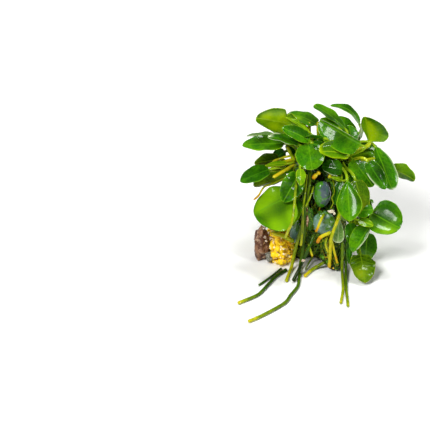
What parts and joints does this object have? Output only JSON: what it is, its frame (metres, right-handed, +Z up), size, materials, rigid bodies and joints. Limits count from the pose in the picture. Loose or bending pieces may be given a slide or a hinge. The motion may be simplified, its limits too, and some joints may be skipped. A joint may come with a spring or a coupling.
{
  "type": "anubias plant",
  "caption": "Dwarf anubias aquarium plant: rounded leathery leaves on a creeping rhizome, on a plug of matted roots, mineral wool and stones, with roots trailing over the surface.",
  "frame": {"origin": "middle of the plug's flat base, where it stands on a surface", "axes": "+X to the right as seen from the front, +Y away from the front, +Z up; the roots trail towards -Y"},
  "size_m": [0.0897, 0.1101, 0.0783],
  "materials": {
    "leaf_mid": "satin",
    "leaf_dark": "satin",
    "leaf_young": "satin",
    "leaf_olive": "satin",
    "leaf_pale": "satin",
    "rhizome": "matte",
    "root_green": "satin",
    "root_yellow": "satin",
    "matted_roots": "matte",
    "mineral_wool": "matte",
    "stone": "matte",
    "pebble": "satin"
  },
  "bodies": {
    "root": {"matted_roots": "matted_roots", "mineral_wool": "mineral_wool", "stone_brown": "stone", "pebble_upper": "pebble", "pebble_lower": "pebble", "rhizome_main": "rhizome", "rhizome_left": "rhizome", "rhizome_right": "rhizome", "rhizome_low": "rhizome", "leaf_left_tall": "leaf_young", "leaf_left_folded": "leaf_mid", "leaf_left_behind": "leaf_dark", "leaf_left_rim": "leaf_dark", "leaf_left_flat": "leaf_mid", "leaf_left_grey": "leaf_pale", "leaf_left_olive": "leaf_olive", "leaf_left_shaded": "leaf_dark", "leaf_left_lower": "leaf_dark", "leaf_left_lowest": "leaf_olive", "leaf_front_round": "leaf_mid", "leaf_front_thin": "leaf_dark", "leaf_front_cupped": "leaf_young", "leaf_broad": "leaf_young", "leaf_broad_under": "leaf_young", "leaf_bumpy": "leaf_dark", "leaf_front_large": "leaf_mid", "leaf_top_small": "leaf_dark", "leaf_top_long": "leaf_olive", "leaf_top_middle": "leaf_dark", "leaf_top_arched": "leaf_mid", "leaf_right_young": "leaf_young", "leaf_right_strip": "leaf_pale", "leaf_right_long": "leaf_mid", "leaf_right_front": "leaf_dark", "leaf_right_inner": "leaf_mid", "leaf_right_far": "leaf_olive", "leaf_drop": "leaf_mid", "leaf_behind_drop": "leaf_mid", "leaf_under_round": "leaf_dark", "leaf_low_cupped": "leaf_mid", "leaf_low_white_edge": "leaf_mid", "leaf_low_dark": "leaf_dark", "leaf_low_drooping": "leaf_mid", "leaf_low_translucent": "leaf_pale", "leaf_back_left": "leaf_mid", "leaf_back_middle": "leaf_mid", "leaf_back_right": "leaf_mid", "leaf_back_hanging": "leaf_mid", "leaf_back_top": "leaf_mid", "leaf_back_low": "leaf_mid", "root_long": "root_green", "root_dark": "root_green", "root_yellow_left": "root_yellow", "root_floor_middle": "root_yellow", "root_floor_left": "root_green", "root_yellow_right": "root_yellow", "root_pair_left": "root_yellow", "root_pair_right": "root_green", "root_crown_yellow": "root_yellow"}
  },
  "joints": []
}
